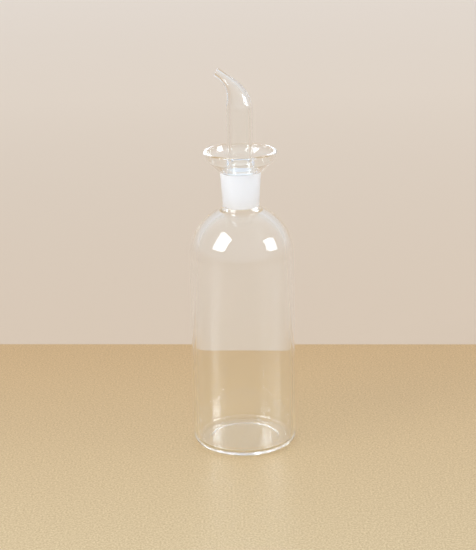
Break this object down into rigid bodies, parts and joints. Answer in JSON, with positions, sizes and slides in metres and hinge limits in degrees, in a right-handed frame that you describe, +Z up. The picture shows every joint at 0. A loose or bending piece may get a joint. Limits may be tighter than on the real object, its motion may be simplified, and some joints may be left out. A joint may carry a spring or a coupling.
{
  "type": "oil cruet",
  "caption": "Empty clear glass oil cruet: a domed round bottle whose neck opens into a drip dish, with a ground glass plug that carries a bent, tapering pouring spout.",
  "frame": {"origin": "centre of the base, on the surface that the cruet stands on", "axes": "+Z up along the bottle's axis, the spout bends towards -X"},
  "size_m": [0.06, 0.06, 0.2219],
  "materials": {
    "bottle_glass": "clear, fire polished; ground inside the neck",
    "pourer_glass": "clear, fire polished; the plug is ground matt"
  },
  "bodies": {
    "root": {"bottle": "bottle_glass", "pourer": "pourer_glass"}
  },
  "joints": []
}
